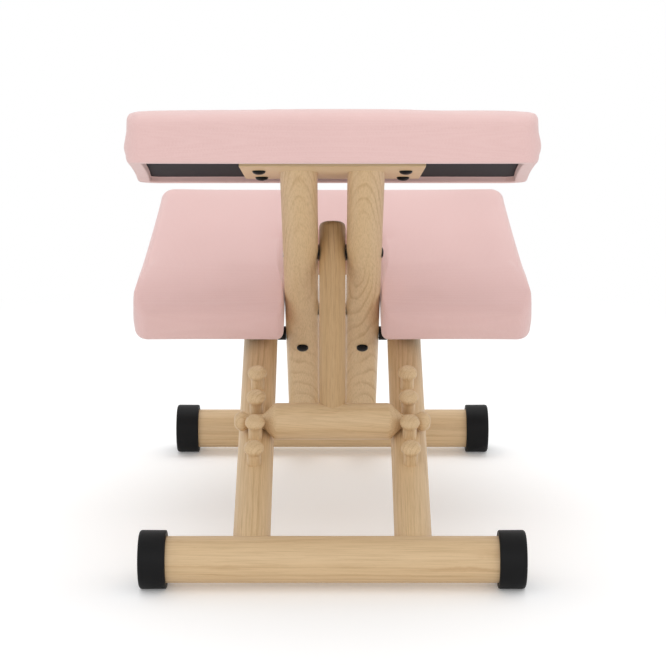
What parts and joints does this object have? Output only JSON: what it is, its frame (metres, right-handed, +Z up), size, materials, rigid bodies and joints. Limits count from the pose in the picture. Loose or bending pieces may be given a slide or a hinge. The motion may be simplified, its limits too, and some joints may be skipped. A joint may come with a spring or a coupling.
{
  "type": "kneeling chair",
  "caption": "Folding kneeling chair: crossed round wooden rails and posts, a sloping padded seat, a notched knee pad and a strut that locks on pegs.",
  "frame": {"origin": "on the floor, midway between the two floor bars", "axes": "+Y the way the sitter faces, +Z up, +X to the right when looking along +Y"},
  "size_m": [0.499, 0.6446, 0.5411],
  "materials": {
    "wood": "clear satin lacquer on pale birch",
    "board_wood": "raw plywood",
    "pink_fabric": "fine matt weave",
    "foam": "cut upholstery foam",
    "under_panel": "charcoal, lightly grained",
    "cap_rubber": "moulded, matt",
    "black_metal": "black oxide, satin",
    "black_plastic": "moulded nylon",
    "bright_steel": "zinc plated"
  },
  "bodies": {
    "base": {"rear_floor_bar": "wood", "rear_cap_left": "cap_rubber", "rear_cap_right": "cap_rubber", "rail_left": "wood", "peg_left_1": "wood", "peg_left_2": "wood", "peg_left_3": "wood", "peg_left_4": "wood", "rail_right": "wood", "peg_right_1": "wood", "peg_right_2": "wood", "peg_right_3": "wood", "peg_right_4": "wood", "knee_cover": "pink_fabric", "knee_foam": "foam", "knee_board": "board_wood", "knee_under_panel": "under_panel", "knee_bracket": "wood", "knee_bolts": "black_metal", "knee_t_nuts": "bright_steel"},
    "seat_frame": {"front_floor_bar": "wood", "front_cap_left": "cap_rubber", "front_cap_right": "cap_rubber", "post_left": "wood", "cross_pin_left": "bright_steel", "cross_spacer_left": "black_plastic", "strut_washer_left": "black_plastic", "post_right": "wood", "cross_pin_right": "bright_steel", "cross_spacer_right": "black_plastic", "strut_washer_right": "black_plastic", "seat_cover": "pink_fabric", "seat_foam": "foam", "seat_board": "board_wood", "seat_under_panel": "under_panel", "seat_bracket": "wood", "seat_bolts": "black_metal", "seat_t_nuts": "bright_steel", "lock_screws": "black_metal", "tie_sleeve": "black_metal", "tie_rod": "bright_steel", "strut_bolt": "black_metal", "strut_nut": "black_metal"},
    "strut": {"strut": "wood", "crosspiece": "wood", "strut_screw": "bright_steel"}
  },
  "joints": [
    {"name": "cross_fold", "type": "hinge", "parent": "base", "child": "seat_frame", "pos_m": [0, 0.09507, 0.21321], "axis": [-1, 0, 0], "range_deg": [0, 24]},
    {"name": "strut_swing", "type": "hinge", "parent": "seat_frame", "child": "strut", "pos_m": [0, -0.04623, 0.34497], "axis": [1, 0, 0], "range_deg": [0, 8.5]}
  ],
  "couplings": [
    {"joint": "strut_swing", "follows": "cross_fold", "ratio": 0.35}
  ]
}
